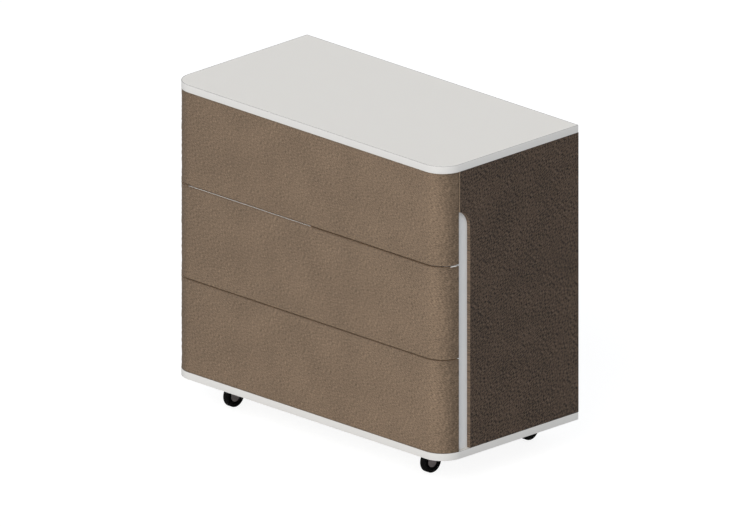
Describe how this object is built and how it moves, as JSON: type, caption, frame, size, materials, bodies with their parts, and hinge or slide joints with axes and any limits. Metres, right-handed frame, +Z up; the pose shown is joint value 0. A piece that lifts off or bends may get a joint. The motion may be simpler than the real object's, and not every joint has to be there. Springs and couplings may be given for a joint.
{
  "type": "mini chest of drawers on casters",
  "caption": "Low mobile chest with full-width pull-out drawers, leather-clad fronts wrapped round its corners, side finger notches and swivel casters.",
  "frame": {"origin": "on the floor, below the middle of the body", "axes": "+X along the width to the right as seen from the front, +Y from the drawer fronts to the back, +Z up"},
  "size_m": [0.8, 0.4, 0.712],
  "materials": {
    "white_board": "white melamine-faced board with white edge band",
    "front_leather": "light brown leather, fine grain",
    "side_leather": "dark brown leather, coarse wrinkled grain, light brown edges",
    "drawer_board": "white foil-faced board",
    "drawer_bottom": "white-faced thin fibreboard",
    "beech": "plain beech",
    "runner_steel": "zinc-plated sheet",
    "cage_plastic": "moulded ball cage",
    "caster_steel": "grey painted pressed sheet",
    "axle_steel": "plain steel pin",
    "black_wheel": "black moulded wheel"
  },
  "bodies": {
    "cabinet": {"top_board": "white_board", "base_board": "white_board", "side_board_left": "white_board", "side_board_right": "white_board", "side_cladding_left": "side_leather", "side_cladding_right": "side_leather", "back_panel": "white_board", "joint_tongues": "beech", "runner_cabinet_members": "runner_steel", "caster_plates": "caster_steel"},
    "drawer_lower": {"front_shell_lower": "front_leather", "backing_board_lower": "white_board", "box_side_left_lower": "drawer_board", "box_side_right_lower": "drawer_board", "box_back_lower": "drawer_board", "box_bottom_lower": "drawer_bottom", "runner_drawer_members_lower": "runner_steel"},
    "runner_lower": {"runner_middle_members_lower": "runner_steel", "ball_cages_lower": "cage_plastic"},
    "drawer_middle": {"front_shell_middle": "front_leather", "backing_board_middle": "white_board", "box_side_left_middle": "drawer_board", "box_side_right_middle": "drawer_board", "box_back_middle": "drawer_board", "box_bottom_middle": "drawer_bottom", "runner_drawer_members_middle": "runner_steel"},
    "runner_middle": {"runner_middle_members_middle": "runner_steel", "ball_cages_middle": "cage_plastic"},
    "drawer_upper": {"front_shell_upper": "front_leather", "backing_board_upper": "white_board", "box_side_left_upper": "drawer_board", "box_side_right_upper": "drawer_board", "box_back_upper": "drawer_board", "box_bottom_upper": "drawer_bottom", "runner_drawer_members_upper": "runner_steel"},
    "runner_upper": {"runner_middle_members_upper": "runner_steel", "ball_cages_upper": "cage_plastic"},
    "swivel_front_left": {"caster_fork_front_left": "caster_steel", "caster_axle_front_left": "axle_steel"},
    "wheel_front_left": {"caster_wheel_front_left": "black_wheel"},
    "swivel_front_right": {"caster_fork_front_right": "caster_steel", "caster_axle_front_right": "axle_steel"},
    "wheel_front_right": {"caster_wheel_front_right": "black_wheel"},
    "swivel_back_left": {"caster_fork_back_left": "caster_steel", "caster_axle_back_left": "axle_steel"},
    "wheel_back_left": {"caster_wheel_back_left": "black_wheel"},
    "swivel_back_right": {"caster_fork_back_right": "caster_steel", "caster_axle_back_right": "axle_steel"},
    "wheel_back_right": {"caster_wheel_back_right": "black_wheel"}
  },
  "joints": [
    {"name": "drawer_lower_slide", "type": "slide", "parent": "cabinet", "child": "drawer_lower", "axis": [0, -1, 0], "range_m": [0, 0.35]},
    {"name": "runner_lower_slide", "type": "slide", "parent": "cabinet", "child": "runner_lower", "axis": [0, -1, 0], "range_m": [0, 0.175]},
    {"name": "drawer_middle_slide", "type": "slide", "parent": "cabinet", "child": "drawer_middle", "axis": [0, -1, 0], "range_m": [0, 0.35]},
    {"name": "runner_middle_slide", "type": "slide", "parent": "cabinet", "child": "runner_middle", "axis": [0, -1, 0], "range_m": [0, 0.175]},
    {"name": "drawer_upper_slide", "type": "slide", "parent": "cabinet", "child": "drawer_upper", "axis": [0, -1, 0], "range_m": [0, 0.35]},
    {"name": "runner_upper_slide", "type": "slide", "parent": "cabinet", "child": "runner_upper", "axis": [0, -1, 0], "range_m": [0, 0.175]},
    {"name": "swivel_front_left_turn", "type": "hinge", "parent": "cabinet", "child": "swivel_front_left", "pos_m": [-0.29, -0.144, 0.054], "axis": [0, 0, 1], "continuous": true},
    {"name": "wheel_front_left_roll", "type": "hinge", "parent": "swivel_front_left", "child": "wheel_front_left", "pos_m": [-0.29, -0.126, 0.025], "axis": [1, 0, 0], "continuous": true},
    {"name": "swivel_front_right_turn", "type": "hinge", "parent": "cabinet", "child": "swivel_front_right", "pos_m": [0.29, -0.144, 0.054], "axis": [0, 0, 1], "continuous": true},
    {"name": "wheel_front_right_roll", "type": "hinge", "parent": "swivel_front_right", "child": "wheel_front_right", "pos_m": [0.29, -0.126, 0.025], "axis": [1, 0, 0], "continuous": true},
    {"name": "swivel_back_left_turn", "type": "hinge", "parent": "cabinet", "child": "swivel_back_left", "pos_m": [-0.29, 0.144, 0.054], "axis": [0, 0, 1], "continuous": true},
    {"name": "wheel_back_left_roll", "type": "hinge", "parent": "swivel_back_left", "child": "wheel_back_left", "pos_m": [-0.29, 0.162, 0.025], "axis": [1, 0, 0], "continuous": true},
    {"name": "swivel_back_right_turn", "type": "hinge", "parent": "cabinet", "child": "swivel_back_right", "pos_m": [0.29, 0.144, 0.054], "axis": [0, 0, 1], "continuous": true},
    {"name": "wheel_back_right_roll", "type": "hinge", "parent": "swivel_back_right", "child": "wheel_back_right", "pos_m": [0.29, 0.162, 0.025], "axis": [1, 0, 0], "continuous": true}
  ],
  "couplings": [
    {"joint": "runner_lower_slide", "follows": "drawer_lower_slide", "ratio": 0.5},
    {"joint": "runner_middle_slide", "follows": "drawer_middle_slide", "ratio": 0.5},
    {"joint": "runner_upper_slide", "follows": "drawer_upper_slide", "ratio": 0.5}
  ]
}
